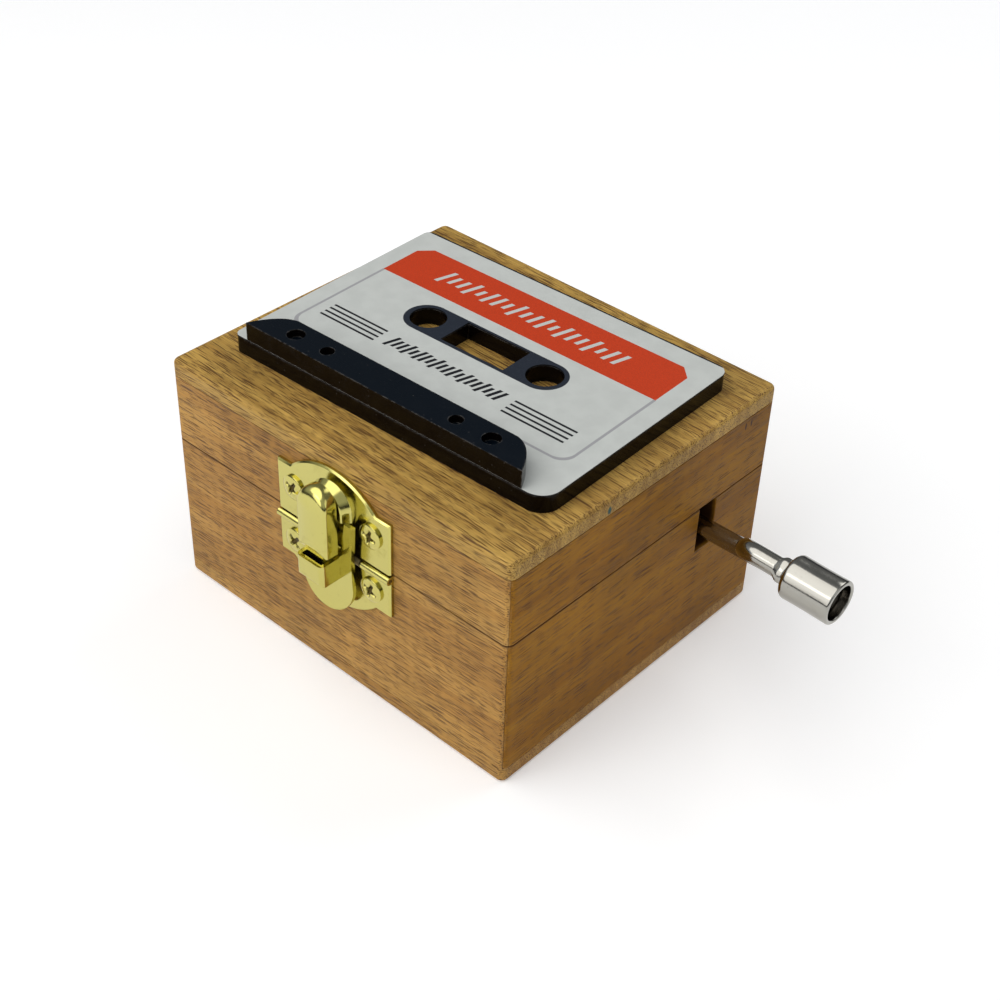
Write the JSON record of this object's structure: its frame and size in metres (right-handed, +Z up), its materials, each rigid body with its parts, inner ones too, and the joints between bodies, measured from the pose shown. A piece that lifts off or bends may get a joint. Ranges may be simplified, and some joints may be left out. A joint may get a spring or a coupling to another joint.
{
  "type": "hand cranked music box",
  "caption": "Small hinged wooden music box with a cassette-shaped badge on its lid, a brass front catch, a side crank and a pinned-cylinder movement inside.",
  "frame": {"origin": "centre of the case's underside", "axes": "+X towards the crank side, -Y towards the catch side, +Z up through the lid"},
  "size_m": [0.0926, 0.0627, 0.0436],
  "materials": {
    "beech": "satin oiled beech, flecked grain",
    "polished_brass": "polished pale brass plate",
    "hinge_brass": "satin brass plate",
    "steel": "ground and bright",
    "nickel_plate": "bright nickel plate",
    "movement_brass": "turned brass",
    "lead": "dull lead",
    "zinc_casting": "plated die casting",
    "black_acrylic": "gloss sawn edges",
    "printed_face": "satin printed sheet"
  },
  "bodies": {
    "base": {"base_front_wall": "beech", "base_back_wall": "beech", "base_left_wall": "beech", "base_right_wall": "beech", "base_bottom_panel": "beech", "latch_base_plate": "polished_brass", "latch_base_screws": "polished_brass", "latch_pin": "steel", "latch_springs": "steel", "hinge_left_base_leaf": "hinge_brass", "hinge_right_base_leaf": "hinge_brass", "hinge_left_pin": "steel", "hinge_right_pin": "steel", "hinge_base_screws": "hinge_brass", "movement_bedplate": "zinc_casting", "movement_screws": "steel", "comb": "steel", "comb_weights": "lead", "comb_screws": "steel", "crank_bearing_outer": "zinc_casting", "crank_bearing_inner": "zinc_casting", "cylinder_bearing_back": "zinc_casting", "cylinder_bearing_front": "zinc_casting", "bearing_screws": "steel"},
    "lid": {"lid_top_panel": "beech", "lid_front_rail": "beech", "lid_back_rail": "beech", "lid_left_rail": "beech", "lid_right_rail": "beech", "cassette_plate": "black_acrylic", "cassette_face": "printed_face", "cassette_bar": "black_acrylic", "latch_lid_plate": "polished_brass", "latch_lid_screws": "polished_brass", "hinge_left_lid_leaf": "hinge_brass", "hinge_right_lid_leaf": "hinge_brass", "hinge_lid_screws": "hinge_brass"},
    "latch": {"latch_lever": "polished_brass", "latch_hook": "polished_brass"},
    "crank": {"crank_rod": "nickel_plate", "worm": "nickel_plate", "crank_collar": "nickel_plate"},
    "knob": {"crank_knob": "nickel_plate"},
    "cylinder": {"cylinder_barrel": "movement_brass", "cylinder_pins": "steel", "cylinder_axle": "nickel_plate", "worm_wheel": "movement_brass"}
  },
  "joints": [
    {"name": "lid_hinge", "type": "hinge", "parent": "base", "child": "lid", "pos_m": [0, 0.02875, 0.02466], "axis": [-1, 0, 0], "range_deg": [0, 105]},
    {"name": "latch_tilt", "type": "hinge", "parent": "base", "child": "latch", "pos_m": [0.0011, -0.02812, 0.02386], "axis": [1, 0, 0], "range_deg": [0, 6], "stiffness_Nm_per_rad": 0.02},
    {"name": "crank_turn", "type": "hinge", "parent": "base", "child": "crank", "pos_m": [0.032, 0.0138, 0.0203], "axis": [1, 0, 0], "continuous": true},
    {"name": "knob_spin", "type": "hinge", "parent": "crank", "child": "knob", "pos_m": [0.053, 0.00175, 0.03157], "axis": [0.9997, -0.0181, -0.0189], "continuous": true},
    {"name": "cylinder_turn", "type": "hinge", "parent": "base", "child": "cylinder", "pos_m": [0.01, 0, 0.0119], "axis": [0, 1, 0], "continuous": true}
  ],
  "couplings": [
    {"joint": "cylinder_turn", "follows": "crank_turn", "ratio": -0.0625}
  ]
}
